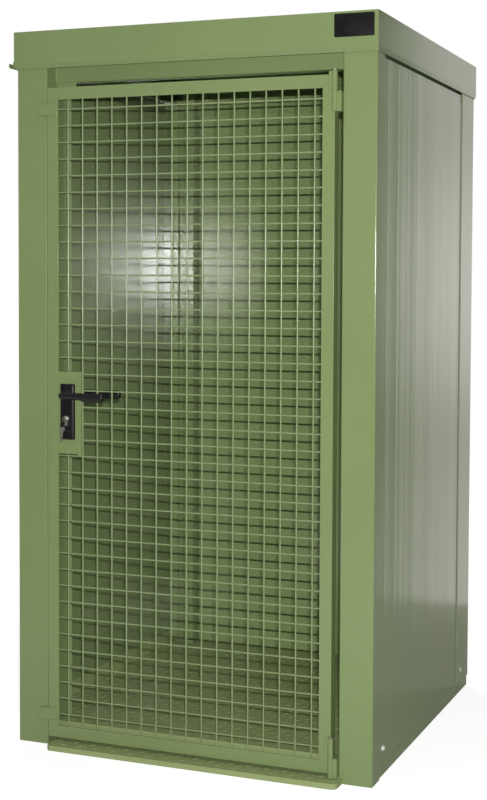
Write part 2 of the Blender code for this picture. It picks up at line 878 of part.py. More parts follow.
def move_to_box_centre(origin):
    """Put the world origin on the floor under the middle of the overall box."""
    left = -half_width - roof_side_overhang - seat_gap - drip_reach
    right = half_width + roof_side_overhang
    neck = door_front - seat_gap - escutcheon_thickness / 2
    path = lever_path(neck, -1, outer_lever_length)
    widest = lever_radius * max(thickness for place, thickness in path)
    front = min(neck - lever_reach - widest, front_face - ramp_reach)
    rear = rear_face + roof_rear_overhang
    origin.location = (-(left + right) / 2, -(front + rear) / 2, 0)


build_front_posts()
build_rear_posts()
build_walls()
build_base_rails()
build_floor()
build_ramp()
build_sill()
build_top_frame()
build_roof()
build_drip_rail()
build_door_frame()
build_door_mesh()
build_lock()
build_hinge("upper_hinge", door_top - upper_hinge_below_top)
build_hinge("lower_hinge", door_bottom - lower_hinge_below_door)
build_stop_lugs()
move_to_box_centre(hang_on_pivots())
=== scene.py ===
"""The looks of the gas cylinder cage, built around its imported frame.

Metres, +Z up, the door faces -Y. Every place comes from the frame's nodes, so a piece sits on what
carries it.
"""
import math

import bmesh
import bpy
from mathutils import Matrix, Vector


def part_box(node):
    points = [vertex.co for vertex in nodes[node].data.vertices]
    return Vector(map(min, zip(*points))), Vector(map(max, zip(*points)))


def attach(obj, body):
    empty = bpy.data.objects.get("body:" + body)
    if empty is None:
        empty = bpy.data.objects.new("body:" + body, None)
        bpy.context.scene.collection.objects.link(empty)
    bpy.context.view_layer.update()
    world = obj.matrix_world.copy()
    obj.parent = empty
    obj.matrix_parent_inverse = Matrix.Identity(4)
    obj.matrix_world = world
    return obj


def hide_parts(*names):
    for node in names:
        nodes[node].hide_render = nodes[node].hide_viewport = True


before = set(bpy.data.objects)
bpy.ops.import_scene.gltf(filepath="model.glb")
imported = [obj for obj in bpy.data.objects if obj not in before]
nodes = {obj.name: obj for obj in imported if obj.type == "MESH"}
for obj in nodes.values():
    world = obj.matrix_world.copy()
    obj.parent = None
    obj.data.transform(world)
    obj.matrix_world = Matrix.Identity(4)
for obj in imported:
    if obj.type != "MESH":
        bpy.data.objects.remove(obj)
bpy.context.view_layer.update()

# Paint and other finishes
green = (0.205, 0.272, 0.110)
# Floor green: the floor's own yellower green, made lighter as painted light on the floor tray, sill and
# ramp.
floor_lit_green = (0.305, 0.372, 0.158)
# Rear wall green, lighter than the body green: painted light on the back wall inside the cage.
rear_lit_green = (0.232, 0.306, 0.126)
# Wire green, lighter and paler than the body green: painted sheen of the round wires.
wire_sheen_green = (0.235, 0.302, 0.142)
# Near-black green: painted shade behind the air gap under the roof.
gap_shade_dark = (0.080, 0.105, 0.050)
# Pale grey: painted shade of the gap at each wall lap, in the grey of the wall's sheen.
gap_shade_grey = (0.250, 0.270, 0.205)
# Pale bolt colour: a painted glint on the green-painted bolt heads.
bolt_glint_pale = (0.560, 0.600, 0.500)
nylon_black = (0.007, 0.007, 0.0075)
key_steel = (0.34, 0.33, 0.31)
nickel = (0.62, 0.61, 0.58)
zinc_grey = (0.50, 0.50, 0.47)
paint_roughness = 0.16
paint_index = 1.6
rear_index = 1.72
paint_edge = 0.0016
nylon_edge = 0.0006
plated_edge = 0.0004
streak_pitch = 0.1025
streak_start = -0.0071
streak_height = 0.0015

# Forms that repeat
crease_angle = math.radians(40)
corner_steps = 5
bead_sides = 8
bead_ripple = 0.13

# Wire mesh
wire_radius = 0.0025
wire_sides = 10
wire_pitch_across = 0.0495
wire_pitch_up = 0.050
first_wire_from_left = 0.0674
first_wire_from_top = 0.0649
edge_wire_inset = 0.017
edge_wire_inset_right = 0.0162
edge_wire_inset_top = 0.0149
edge_wire_inset_bottom = 0.0206
layer_shift = 0.0042
weld_spot = [(-0.00252, 0.0012), (-0.00156, 0.0027), (0.0, 0.0033), (0.00156, 0.0027), (0.00252, 0.0012)]
weld_spot_sides = 8

# Lever handle
lever_reach = 0.047
outer_lever_length = 0.150
inner_lever_length = 0.134
lever_radius = 0.0095
lever_bend = 0.016
lever_rise = 0.0100
lever_drop = 0.0105
lever_root = 0.0045
lever_blunt = 0.0085
lever_sides = 28
bend_steps = 8
grip_steps = 20
grip_drop = 0.0170
grip_start = 0.36
grip_blend = 0.26
grip_taper = 0.0012
grip_taper_start = 0.7
collar_radius = 0.0135
collar_height = 0.0035
collar_chamfer = 0.0012

# Backplates, lock cylinder and keys
backplate_corner = 0.0025
backplate_steps = ((0.45, 0.0), (0.56, 0.0006), (0.80, 0.0030), (0.93, 0.0048), (1.0, 0.0065))
plug_start_degrees = -55
plug_sweep_degrees = 290
plug_steps = 16
plug_face = ((0.0, 0.72), (0.0008, 0.72), (0.0012, 0.66))
plug_face_sunk = 0.0001
plug_face_sides = 24
tongue_share = 0.58
tongue_drop = 0.0185
tongue_steps = 8
cylinder_chamfer = 0.0006
cylinder_end_shares = (0.93, 0.96)
plug_key_bow = (0.0080, -0.009, 0.009, 0.005)
plug_key_neck = (0.0035, -0.0042, 0.0042, 0.001)
plug_key_bow_thinness = 0.13
plug_key_neck_thinness = 0.3
plug_key_tip_shares = (0.8, 0.62)
keyway = (0.0011, -0.0050, 0.0050, 0.0005)
keyway_proud = 0.0014
keyway_sunk = 0.0005
key_half_thickness = 0.0011
key_bow_width = 0.0082
key_bow_height = 0.0080
key_blade = [
    (-0.0036, -0.020), (-0.0034, -0.043), (0.0, -0.047), (0.0034, -0.043),
    (0.0026, -0.037), (0.0036, -0.032), (0.0028, -0.027), (0.0036, -0.020),
]
spare_key_from_ring = (0.001, -0.001, -0.0080)
ring_from_plug = (-0.004, -0.0150, -0.0155)
ring_wire = 0.0006
ring_wire_sides = 6
ring_size = (0.0085, 0.004, 0.0095)
ring_steps = 32
plate_edge_half = 0.006
plate_edge_depth = 0.0020
plate_edge_corner = 0.001

# Welds and hinges
corner_bead = 0.0016
corner_bead_sunk = 0.0008
corner_bead_inset = 0.002
hinge_cap = [(0.0, 0.0064), (0.0016, 0.0068), (0.0032, 0.0060), (0.0048, 0.0040), (0.0056, 0.0014)]
hinge_cap_sunk = 0.0045
hinge_cap_sides = 20
hinge_post_bead = 0.0030
hinge_post_bead_length = 0.009
hinge_post_bead_levels = (0.12, 0.34, 0.56, 0.78)
hinge_post_bead_inset = 0.003
hinge_post_bead_behind = 0.011
hinge_door_bead_sunk = 0.0005
hinge_side_bead = 0.0024
hinge_side_bead_inset = 0.004
hinge_end_bead = 0.0018
hinge_end_bead_start = 0.002
hinge_end_bead_stop = 0.012
lug_bead = 0.0020
lug_bead_sunk = 0.0004
lug_bead_start = 0.003
lug_bead_stop = 0.001
lug_bead_inset = 0.002
lintel_bead = 0.0030
lintel_bead_foot = 0.004
lintel_bead_head = 0.06
fascia_bead = 0.0018
fascia_bead_length = 0.016
fascia_bead_inset = 0.0025
fascia_bead_sunk = 0.001
fascia_bead_foot = 0.002
wall_bead = 0.0030
wall_bead_length = 0.016
wall_bead_inset = 0.0365
wall_bead_drop = 0.010
wall_bead_proud = 0.0008

# Tread pattern
tear_pitch = 0.0285
tear_length = 0.024
tear_width = 0.0065
tear_height = 0.0012
tear_sides = 10
tear_rings = ((1.0, 0.0), (0.72, 0.7), (0.35, 1.0))
tear_margin = 0.45 * tear_length
tear_sunk = 0.00005
ramp_right_margin = 0.008
deck_side_margin = 0.012
deck_front_margin = 0.004
deck_behind_post = 0.09

# Bolts and sign plate
bolt_radius = 0.0078
washer_share = 1.25
washer_edge = 0.0009
washer_height = 0.0010
dome_degrees = (20, 40, 58, 72, 84)
bolt_sides = 20
bolt_level = 0.081
bolt_sunk = 0.0002
front_bolt_inset = 0.074
rear_bolt_inset = 0.0145
wall_bolt_height = 0.0082
post_bolt_height = 0.0052
sign_from_right = 0.0705
sign_from_top = 0.0385
sign_half_width = 0.059
sign_half_height = 0.0325
sign_corner = 0.004
sign_layers = ((0.0, 0.0), (0.0007, 0.0), (0.0011, 0.0006))

# Trim on the body
eaves_set_in = 0.010
eaves_thickness = 0.001
eaves_overlap = 0.010
eaves_head_gap = 0.001
eaves_rear_gap = 0.002
behind_front_post = 0.04
lip_width = 0.0135
lip_gap = 0.0002
lip_from_rear = 0.0021
lip_to_rear = 0.0003
lip_foot = 0.010
lip_head = 0.055
brim_height = 0.0075
brim_overlap = 0.001
brim_inset = 0.0002
brim_rear_gap = 0.036
lap_proud = 0.0008
lap_inset = 0.0003
lap_end_gap = 0.001
gusset_inset = 0.001
gusset_width = 0.070
gusset_height = 0.040
gusset_thickness = 0.002
post_width = 0.097
post_return = 0.046
post_depth = 0.052
strip_from_side = 0.0034
strip_foot = 0.03
strip_head_gap = 0.002
strip_thickness = 0.002
strip_step = 0.0005
strip_gap = 0.0002
strip_from_inner_side = 0.0012
groove_place = 0.0335
groove_width = 0.007
cheek_half = 0.0005
cheek_rear_gap = 0.001
bend_foot = 0.001
bend_radius = 0.0034
bend_inset = 0.0031
bend_sides = 32

# Studio
lens = 64.2354
lens_shift = (-0.06404, -0.07151)
camera_place = (1.78133, -4.33330, 1.43676)
camera_turn = (87.4702, -0.3224, 20.7367)
flash_place = (1.782, -4.25, 1.53)
flash_target = (0.2, 0.0, 1.2)
flash_width = 0.05
flash_height = 0.006
flash_watts = 151
top_place = (0.0, -1.0, 4.5)
top_size = 3.0
top_watts = 33
rear_place = (-2.8, 4.0, 2.9)
rear_target = (-0.2, 0.4, 1.0)
rear_size = 2.0
rear_watts = 105
board_place = (1.04, 1.75, 1.31)
board_target = (1.04, 0.0, 1.31)
board_width = 0.68
board_height = 2.60
board_watts = 4.95
board_white = (1.0, 0.985, 0.925)
board_glow_level = 1.42
ambient = 0.14
floor_reach = 14.0
floor_level = -0.0005
paper_dark = (0.61, 0.605, 0.565)
paper_light = (0.63, 0.625, 0.585)
paper_seen = (0.45, 0.45, 0.45)


def low_of(node):
    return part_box(node)[0]


def high_of(node):
    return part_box(node)[1]


def middle_of(node):
    low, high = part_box(node)
    return (low + high) / 2


# Materials


def start_material(name):
    material = bpy.data.materials.new(name)
    material.use_nodes = True
    tree = material.node_tree
    return material, tree, tree.nodes["Principled BSDF"]


def object_coordinates(tree):
    return tree.nodes.new("ShaderNodeTexCoord").outputs["Object"]


def stretched(tree, where, scale):
    mapping = tree.nodes.new("ShaderNodeMapping")
    mapping.inputs["Scale"].default_value = scale
    tree.links.new(where, mapping.inputs["Vector"])
    return mapping.outputs["Vector"]


def noise(tree, where, scale, detail=2.0):
    texture = tree.nodes.new("ShaderNodeTexNoise")
    texture.inputs["Scale"].default_value = scale
    texture.inputs["Detail"].default_value = detail
    tree.links.new(where, texture.inputs["Vector"])
    return texture.outputs["Fac"]


def remap(tree, value, low, high, new_low, new_high, smooth=False):
    ranged = tree.nodes.new("ShaderNodeMapRange")
    if smooth:
        ranged.interpolation_type = "SMOOTHSTEP"
    ranged.inputs["From Min"].default_value = low
    ranged.inputs["From Max"].default_value = high
    ranged.inputs["To Min"].default_value = new_low
    ranged.inputs["To Max"].default_value = new_high
    tree.links.new(value, ranged.inputs["Value"])
    return ranged.outputs["Result"]


def calculate(tree, operation, first, second=None):
    step = tree.nodes.new("ShaderNodeMath")
    step.operation = operation
    for socket, value in zip(step.inputs, (first, second)):
        if value is None:
            continue
        if isinstance(value, (int, float)):
            socket.default_value = value
        else:
            tree.links.new(value, socket)
    return step.outputs["Value"]


def colour_mix(tree, share, first, second):
    """Mix two colours; each is a tuple or another node's colour output."""
    mix = tree.nodes.new("ShaderNodeMix")
    mix.data_type = "RGBA"
    tree.links.new(share, mix.inputs[0])
    for number, value in ((6, first), (7, second)):
        if isinstance(value, tuple):
            mix.inputs[number].default_value = (*value, 1.0)
        else:
            tree.links.new(value, mix.inputs[number])
    return mix.outputs[2]


def bump(tree, height, strength, distance, normal=None):
    node = tree.nodes.new("ShaderNodeBump")
    node.inputs["Strength"].default_value = strength
    node.inputs["Distance"].default_value = distance
    tree.links.new(height, node.inputs["Height"])
    if normal is not None:
        tree.links.new(normal, node.inputs["Normal"])
    return node.outputs["Normal"]


def rounded_edges(tree, radius):
    node = tree.nodes.new("ShaderNodeBevel")
    node.samples = 4
    node.inputs["Radius"].default_value = radius
    return node.outputs["Normal"]


def edge_share(tree, bevelled):
    """How far a point lies on a folded or cut edge, from 0 to 1."""
    plain = tree.nodes.new("ShaderNodeNewGeometry").outputs["Normal"]
    product = tree.nodes.new("ShaderNodeVectorMath")
    product.operation = "DOT_PRODUCT"
    tree.links.new(bevelled, product.inputs[0])
    tree.links.new(plain, product.inputs[1])
    return remap(tree, product.outputs["Value"], 0.999, 0.90, 0.0, 1.0)


def shade(colour, factor):
    return tuple(part * factor for part in colour)


def outside_share(tree, side):
    """One on the outer face of a wall and nought on its inner face."""
    facing = tree.nodes.new("ShaderNodeSeparateXYZ")
    coordinates = tree.nodes.new("ShaderNodeTexCoord")
    tree.links.new(coordinates.outputs["Normal"], facing.inputs["Vector"])
    axis, outward = {"left": ("X", -1.0), "right": ("X", 1.0), "rear": ("Y", 1.0)}[side]
    return calculate(tree, "GREATER_THAN", calculate(tree, "MULTIPLY", facing.outputs[axis], outward), 0.5)


def roll_marks(tree, where, side):
    """Height of a sheet's upright roll marks: broad waves, fine ones and a line at each pitch."""
    split = tree.nodes.new("ShaderNodeSeparateXYZ")
    tree.links.new(where, split.inputs["Vector"])
    along = split.outputs["X" if side == "rear" else "Y"]
    turns = calculate(tree, "DIVIDE", calculate(tree, "SUBTRACT", along, streak_start), streak_pitch)
    line = remap(tree, calculate(tree, "PINGPONG", turns, 0.5), 0.0, 0.05, 0.16, 0.0)
    broad = noise(tree, stretched(tree, where, (9, 9, 0.10)), 1.0, 1.0)
    fine = noise(tree, stretched(tree, where, (48, 48, 0.45)), 1.0, 2.0)
    height = calculate(tree, "ADD", broad, calculate(tree, "MULTIPLY", fine, 0.16))
    return calculate(tree, "MULTIPLY", calculate(tree, "ADD", height, line), outside_share(tree, side))


def paint(name, colour, roughness=paint_roughness, streaks=None, peel=0.05, index=paint_index):
    """Semi-gloss coating: faint cloudiness, orange peel and softened edges."""
    material, tree, shader = start_material(name)
    where = object_coordinates(tree)
    cloudy = remap(tree, noise(tree, where, 2.3, 3.0), 0.35, 0.65, 0.0, 1.0)
    tone = colour_mix(tree, cloudy, shade(colour, 0.975), shade(colour, 1.025))
    bevelled = rounded_edges(tree, paint_edge)
    rubbed = remap(tree, noise(tree, where, 60.0, 3.0), 0.45, 0.6, 0.05, 0.25)
    # Edges painted lighter: partly rubbed paint, partly a painted highlight along folds and cut edges.
    worn_and_lit_edges = calculate(tree, "MULTIPLY", edge_share(tree, bevelled), rubbed)
    tone = colour_mix(tree, worn_and_lit_edges, tone, shade(colour, 1.35))
    gloss = remap(tree, noise(tree, where, 9.0, 3.0), 0.3, 0.7, roughness - 0.01, roughness + 0.015)
    normal = bump(tree, noise(tree, where, 3.1, 1.0), 0.20, 0.004, bevelled)
    if streaks:
        normal = bump(tree, roll_marks(tree, where, streaks), 1.0, streak_height, normal)
    normal = bump(tree, noise(tree, where, 420.0, 2.0), peel, 0.0003, normal)
    tree.links.new(tone, shader.inputs["Base Color"])
    tree.links.new(gloss, shader.inputs["Roughness"])
    tree.links.new(normal, shader.inputs["Normal"])
    shader.inputs["IOR"].default_value = index
    return material


def nylon(name, polish=0.36, reflection=0.22):
    """Black moulded nylon with a fine spark-eroded skin."""
    material, tree, shader = start_material(name)
    where = object_coordinates(tree)
    cloudy = remap(tree, noise(tree, where, 60.0, 3.0), 0.3, 0.7, 0.0, 1.0)
    tone = colour_mix(tree, cloudy, nylon_black, shade(nylon_black, 1.9))
    gloss = remap(tree, noise(tree, where, 220.0, 2.0), 0.3, 0.7, polish - 0.06, polish + 0.06)
    normal = bump(tree, noise(tree, where, 1500.0, 2.0), 0.12, 0.0002, rounded_edges(tree, nylon_edge))
    tree.links.new(tone, shader.inputs["Base Color"])
    tree.links.new(gloss, shader.inputs["Roughness"])
    tree.links.new(normal, shader.inputs["Normal"])
    shader.inputs["Specular IOR Level"].default_value = reflection
    return material


def plated(name, colour=nickel, roughness=0.26):
    """Plated metal with fine turning marks and handling scratches."""
    material, tree, shader = start_material(name)
    where = object_coordinates(tree)
    tarnish = remap(tree, noise(tree, where, 45.0, 4.0), 0.35, 0.7, 0.0, 1.0)
    tone = colour_mix(tree, tarnish, colour, shade(colour, 0.72))
    scratches = noise(tree, stretched(tree, where, (300, 300, 2600)), 1.0, 3.0)
    gloss = remap(tree, scratches, 0.3, 0.7, roughness - 0.08, roughness + 0.14)
    normal = bump(tree, scratches, 0.12, 0.0001, rounded_edges(tree, plated_edge))
    tree.links.new(tone, shader.inputs["Base Color"])
    tree.links.new(gloss, shader.inputs["Roughness"])
    tree.links.new(normal, shader.inputs["Normal"])
    shader.inputs["Metallic"].default_value = 1.0
    return material


body_paint = paint("body_paint", green)
wall_paints = {side: paint(side + "_wall_paint", green, streaks=side) for side in ("left", "right")}
# The rear wall's lighter green is painted light inside the cage.
wall_paints["rear"] = paint("rear_wall_lit_paint", rear_lit_green, streaks="rear", index=rear_index)
rear_post_paint = paint("rear_post_paint", green, index=rear_index)
cheek_paint = paint("cheek_paint", green, roughness=0.45, peel=0.3)
door_paint = paint("door_paint", green)
# The wires' lighter, paler green is a painted sheen.
wire_paint = paint("wire_paint", wire_sheen_green, roughness=0.24)
# The floor paint's extra lightness is painted light; its yellower hue is its own.
floor_lit_paint = paint("floor_lit_paint", floor_lit_green, roughness=0.36, peel=0.2)
weld_paint = paint("weld_paint", green, roughness=0.24, peel=0.3)
black_nylon = nylon("black_nylon")
lever_nylon = nylon("lever_nylon", polish=0.24, reflection=0.55)
# Near-black paint for the side strips under the roof: painted shade of the air gap.
eaves_shade_paint = paint("eaves_shade_paint", gap_shade_dark, roughness=0.5)
gap_shade_paint = paint("gap_shade_paint", gap_shade_grey, roughness=0.5)
bolt_glint_paint = paint("bolt_glint_paint", bolt_glint_pale, roughness=0.2)
bright_nickel = plated("bright_nickel")
key_metal = plated("key_metal", key_steel, roughness=0.34)
zinc = plated("zinc", zinc_grey, roughness=0.36)
sign_face = nylon("sign_face", polish=0.5, reflection=0.10)


def assign(node, material):
    node.data.materials.clear()
    node.data.materials.append(material)


for name, node in nodes.items():
    if name.endswith("_wall"):
        assign(node, wall_paints[name.split("_")[0]])
    elif name.endswith("_pin"):
        assign(node, zinc)
    elif name in ("lever_spindle", "lock_cylinder"):
        assign(node, bright_nickel)
    elif name in ("outer_lever", "inner_lever") or name.endswith("_escutcheon"):
        assign(node, black_nylon)
    elif name in ("floor_tray", "threshold_sill", "threshold_ramp"):
        assign(node, floor_lit_paint)
    elif name.startswith(("door_", "lock_")) or name.endswith(("_stop_lug", "_hinge_door_half")):
        assign(node, door_paint)
    else:
        assign(node, body_paint)


# Forms


def finish_piece(name, shape, material, body, smooth=True):
    bmesh.ops.recalc_face_normals(shape, faces=shape.faces)
    mesh = bpy.data.meshes.new(name)
    shape.to_mesh(mesh)
    shape.free()
    mesh.materials.append(material)
    if smooth:
        mesh.shade_smooth()
        mesh.set_sharp_from_angle(angle=crease_angle)
    piece = bpy.data.objects.new(name, mesh)
    bpy.context.scene.collection.objects.link(piece)
    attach(piece, body)
    return piece


def join_rings(shape, rings):
    """Faces from each ring to the next, and one that closes each end."""
    for first, second in zip(rings, rings[1:]):
        for number in range(len(first)):
            after = (number + 1) % len(first)
            shape.faces.new((first[number], first[after], second[after], second[number]))
    shape.faces.new(rings[0])
    shape.faces.new(rings[-1])


def add_tube(shape, places, radii, sides):
    """A closed tube through the places, with one radius for each."""
    rings = []
    side = None
    for number, place in enumerate(places):
        before = places[max(number - 1, 0)]
        after = places[min(number + 1, len(places) - 1)]
        along = (after - before).normalized()
        if side is None:
            side = along.orthogonal().normalized()
        side = (side - along * side.dot(along)).normalized()
        up = along.cross(side)
        ring = []
        for turn in range(sides):
            angle = 2 * math.pi * turn / sides
            spoke = side * math.cos(angle) + up * math.sin(angle)
            ring.append(shape.verts.new(place + spoke * radii[number]))
        rings.append(ring)
    join_rings(shape, rings)


def add_lathe(shape, base, axis, profile, sides):
    """A turned form: the profile gives a distance along the axis and a radius for each ring."""
    axis = Vector(axis).normalized()
    side = axis.orthogonal().normalized()
    up = axis.cross(side)
    rings = []
    for along, radius in profile:
        place = Vector(base) + axis * along
        ring = []
        for turn in range(sides):
            angle = 2 * math.pi * turn / sides
            ring.append(shape.verts.new(place + (side * math.cos(angle) + up * math.sin(angle)) * radius))
        rings.append(ring)
    join_rings(shape, rings)


def add_bead(shape, start, end, radius):
    """A weld bead: a low tube whose thickness ripples along its length."""
    start = Vector(start)
    end = Vector(end)
    length = (end - start).length
    steps = max(6, round(length / (radius * 0.6)))
    places = []
    radii = []
    for step in range(steps + 1):
        share = step / steps
        taper = min(1.0, 0.35 + 4.0 * min(share, 1 - share))
        ripple = 1 + bead_ripple * math.sin(share * length / radius * 2.6)
        places.append(start.lerp(end, share))
        radii.append(radius * taper * ripple)
    add_tube(shape, places, radii, bead_sides)


def rounded_outline(half_width, bottom, top, radius):
    """Points of an upright rectangle with round corners, in X and Z."""
    points = []
    corners = [
        (half_width - radius, top - radius, 0),
        (-half_width + radius, top - radius, 90),
        (-half_width + radius, bottom + radius, 180),
        (half_width - radius, bottom + radius, 270),
    ]
    for centre_x, centre_z, turn in corners:
        for step in range(corner_steps + 1):
            angle = math.radians(turn + 90 * step / corner_steps)
            points.append((centre_x + radius * math.cos(angle), centre_z + radius * math.sin(angle)))
    return points


def resized(outline, width_share, height_share):
    return [(x * width_share, z * height_share) for x, z in outline]


def add_plate(shape, centre, layers):
    """A plate that faces along Y: each layer is a Y and its outline, and both ends are closed."""
    rings = []
    for y, outline in layers:
        rings.append([shape.verts.new((centre.x + x, y, centre.z + z)) for x, z in outline])
    join_rings(shape, rings)


def add_block(shape, first, second):
    """A plain block between two opposite corners."""
    near = [min(pair) for pair in zip(first, second)]
    far = [max(pair) for pair in zip(first, second)]
    rings = []
    for z in (near[2], far[2]):
        corners = ((near[0], near[1]), (far[0], near[1]), (far[0], far[1]), (near[0], far[1]))
        rings.append([shape.verts.new((x, y, z)) for x, y in corners])
    join_rings(shape, rings)


def finish_blocks(name, blocks, material):
    """One piece on the body, made of blocks that are each given by two opposite corners."""
    shape = bmesh.new()
    for first, second in blocks:
        add_block(shape, first, second)
    finish_piece(name, shape, material, "body", smooth=False)


# Door leaf

leaf_left = low_of("door_left_stile").x
leaf_right = high_of("door_right_stile").x
leaf_bottom = low_of("door_bottom_rail").z
leaf_top = high_of("door_top_rail").z
leaf_front = low_of("door_top_rail").y
wire_plane = low_of("door_mesh_upper").y + wire_radius


def wire_places(first, last, pitch):
    """Places from the first towards the last, one pitch apart, that stop before the last."""
    count = math.ceil((abs(last - first) - 4 * wire_radius) / pitch)
    step = math.copysign(pitch, last - first)
    return [first + step * number for number in range(count)]


def build_wire_mesh():
    """Round wires in two layers, fused where they cross, cut out round the lock."""
    last_x = leaf_right - edge_wire_inset_right
    last_z = leaf_bottom + edge_wire_inset_bottom
    uprights = wire_places(leaf_left + first_wire_from_left, last_x, wire_pitch_across)
    levels = wire_places(leaf_top - first_wire_from_top, last_z, wire_pitch_up)
    uprights = [leaf_left + edge_wire_inset] + uprights + [last_x]
    levels = [leaf_top - edge_wire_inset_top] + levels + [last_z]
    case_low, case_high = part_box("lock_case")
    end = 2 * wire_radius
    radii = [wire_radius, wire_radius]
    shape = bmesh.new()
    for x in uprights:
        stretches = [(levels[-1] - end, levels[0] + end)]
        if x < case_high.x:
            stretches = [(levels[-1] - end, case_low.z), (case_high.z, levels[0] + end)]
        for bottom, top in stretches:
            places = [Vector((x, wire_plane, bottom)), Vector((x, wire_plane, top))]
            add_tube(shape, places, radii, wire_sides)
    for z in levels:
        start = uprights[0] - end
        if case_low.z < z < case_high.z:
            start = case_high.x
        y = wire_plane + layer_shift
        places = [Vector((start, y, z)), Vector((uprights[-1] + end, y, z))]
        add_tube(shape, places, radii, wire_sides)
    for x in uprights:
        for z in levels:
            if x < case_high.x and case_low.z < z < case_high.z:
                continue
            centre = (x, wire_plane + layer_shift / 2, z)
            add_lathe(shape, centre, (0, 1, 0), weld_spot, weld_spot_sides)
    piece = finish_piece("wire_mesh", shape, wire_paint, "door")
    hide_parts("door_mesh_upper", "door_mesh_lower")


def build_corner_welds():
    """A bead across each mitre of the door's frame."""
    shape = bmesh.new()
    face = high_of("door_top_rail").z - low_of("door_top_rail").z
    y = leaf_front + corner_bead_sunk
    for x, inward in ((leaf_left, 1), (leaf_right, -1)):
        for z, rise in ((leaf_bottom, 1), (leaf_top, -1)):
            start = (x + inward * corner_bead_inset, y, z + rise * corner_bead_inset)
            end = (x + inward * face, y, z + rise * face)
            add_bead(shape, start, end, corner_bead)
    finish_piece("door_corner_welds", shape, weld_paint, "door")


build_wire_mesh()
build_corner_welds()

# Lock

spindle = middle_of("lever_spindle")
barrel = middle_of("lock_cylinder")


def build_backplate(name, node, outward):
    """A moulded backplate: full width at its seat, then a broad soft chamfer up to a flat front."""
    low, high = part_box(node)
    centre = Vector(((low.x + high.x) / 2, 0, spindle.z))
    half = (high.x - low.x) / 2
    bottom = low.z - spindle.z
    top = high.z - spindle.z
    depth = high.y - low.y
    seat = high.y if outward < 0 else low.y
    layers = [(seat, rounded_outline(half, bottom, top, backplate_corner))]
    for share, inset in backplate_steps:
        outline = rounded_outline(half - inset, bottom + inset, top - inset, backplate_corner)
        layers.append((seat + outward * depth * share, outline))
    shape = bmesh.new()
    add_plate(shape, centre, layers)
    piece = finish_piece(name, shape, black_nylon, "door")
    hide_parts(node)
    return seat + outward * depth


def lever_sections(start, outward, length):
    """Sections of a lever: X, Y, turn towards sideways, rise above and drop below its middle line."""
    reach = start + outward * lever_reach
    centre_y = reach - outward * lever_bend
    sections = [(0.0, y, 0.0, lever_radius, lever_radius) for y in (start, centre_y)]
    for step in range(1, bend_steps + 1):
        share = step / bend_steps
        turn = math.pi / 2 * share
        x = lever_bend - lever_bend * math.cos(turn)
        y = centre_y + outward * lever_bend * math.sin(turn)
        rise = lever_radius + (lever_rise - lever_radius) * share
        drop = lever_radius + (lever_drop - lever_radius) * share
        sections.append((x, y, turn, rise, drop))
    bar = length - lever_blunt - lever_bend
    for step in range(1, grip_steps + 1):
        share = step / grip_steps
        swell = min(max((share - grip_start) / grip_blend, 0.0), 1.0)
        swell = swell * swell * (3 - 2 * swell)
        taper = grip_taper * max(share - grip_taper_start, 0.0) / (1 - grip_taper_start)
        drop = lever_drop + (grip_drop - lever_drop) * swell - taper
        sections.append((lever_bend + bar * share, reach, math.pi / 2, lever_rise, drop))
    for angle in (20, 38, 54, 68, 79, 86):
        turn = math.radians(angle)
        x = length - lever_blunt + lever_blunt * math.sin(turn)
        narrow = math.cos(turn) ** 0.8
        sections.append((x, reach, math.pi / 2, lever_rise * narrow, drop * narrow))
    return sections


def build_lever(name, node, face, outward, length):
    """A lever that comes straight out of its plate, bends sideways and swells to a grip."""
    shape = bmesh.new()
    rings = []
    for x, y, turn, rise, drop in lever_sections(face - outward * lever_root, outward, length):
        across = Vector((math.cos(turn), -outward * math.sin(turn), 0.0))
        centre = Vector((spindle.x + x, y, spindle.z))
        depth = min(lever_radius, rise)
        ring = []
        for number in range(lever_sides):
            angle = 2 * math.pi * number / lever_sides
            height = math.sin(angle) * (rise if math.sin(angle) > 0 else drop)
            spot = centre + across * depth * math.cos(angle) + Vector((0, 0, height))
            ring.append(shape.verts.new(spot))
        rings.append(ring)
    join_rings(shape, rings)
    profile = [
        (0.0, collar_radius),
        (collar_height * 0.6, collar_radius),
        (collar_height, collar_radius - collar_chamfer),
        (collar_height * 1.25, lever_radius),
    ]
    add_lathe(shape, (spindle.x, face, spindle.z), (0, outward, 0), profile, lever_sides)
    piece = finish_piece(name, shape, lever_nylon, "handle")
    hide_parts(node)


def build_key_cylinder():
    """Both ends of a profile cylinder: a round plug over a narrow tongue."""
    low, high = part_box("lock_cylinder")
    radius = (high.x - low.x) / 2
    tongue = radius * tongue_share
    outline = []
    for step in range(plug_steps + 1):
        angle = math.radians(plug_start_degrees + plug_sweep_degrees * step / plug_steps)
        outline.append((radius * math.cos(angle), radius * math.sin(angle)))
    for step in range(tongue_steps + 1):
        angle = math.radians(180 + 180 * step / tongue_steps)
        outline.append((tongue * math.cos(angle), -tongue_drop + tongue * math.sin(angle)))
    small = resized(outline, *cylinder_end_shares)
    shape = bmesh.new()
    add_plate(shape, barrel, [
        (low.y, small),
        (low.y + cylinder_chamfer, outline),
        (high.y - cylinder_chamfer, outline),
        (high.y, small),
    ])
    plug = [(along, radius * share) for along, share in plug_face]
    add_lathe(shape, (barrel.x, low.y + plug_face_sunk, barrel.z), (0, -1, 0), plug, plug_face_sides)
    piece = finish_piece("key_cylinder", shape, bright_nickel, "door")
    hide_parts("lock_cylinder")
    return low.y


def add_key(shape, top, tilt, swing):
    """A flat key whose bow hangs from the top, with its blade downwards."""
    bow = []
    for degrees in range(-60, 241, 20):
        angle = math.radians(degrees)
        bow.append((key_bow_width * math.cos(angle), key_bow_height * math.sin(angle) - key_bow_height))
    turn = Matrix.Rotation(math.radians(swing), 3, "Y") @ Matrix.Rotation(math.radians(tilt), 3, "Z")
    rings = []
    for y in (-key_half_thickness, key_half_thickness):
        spots = [Vector(top) + turn @ Vector((x, y, z)) for x, z in bow + key_blade]
        rings.append([shape.verts.new(spot) for spot in spots])
    join_rings(shape, rings)


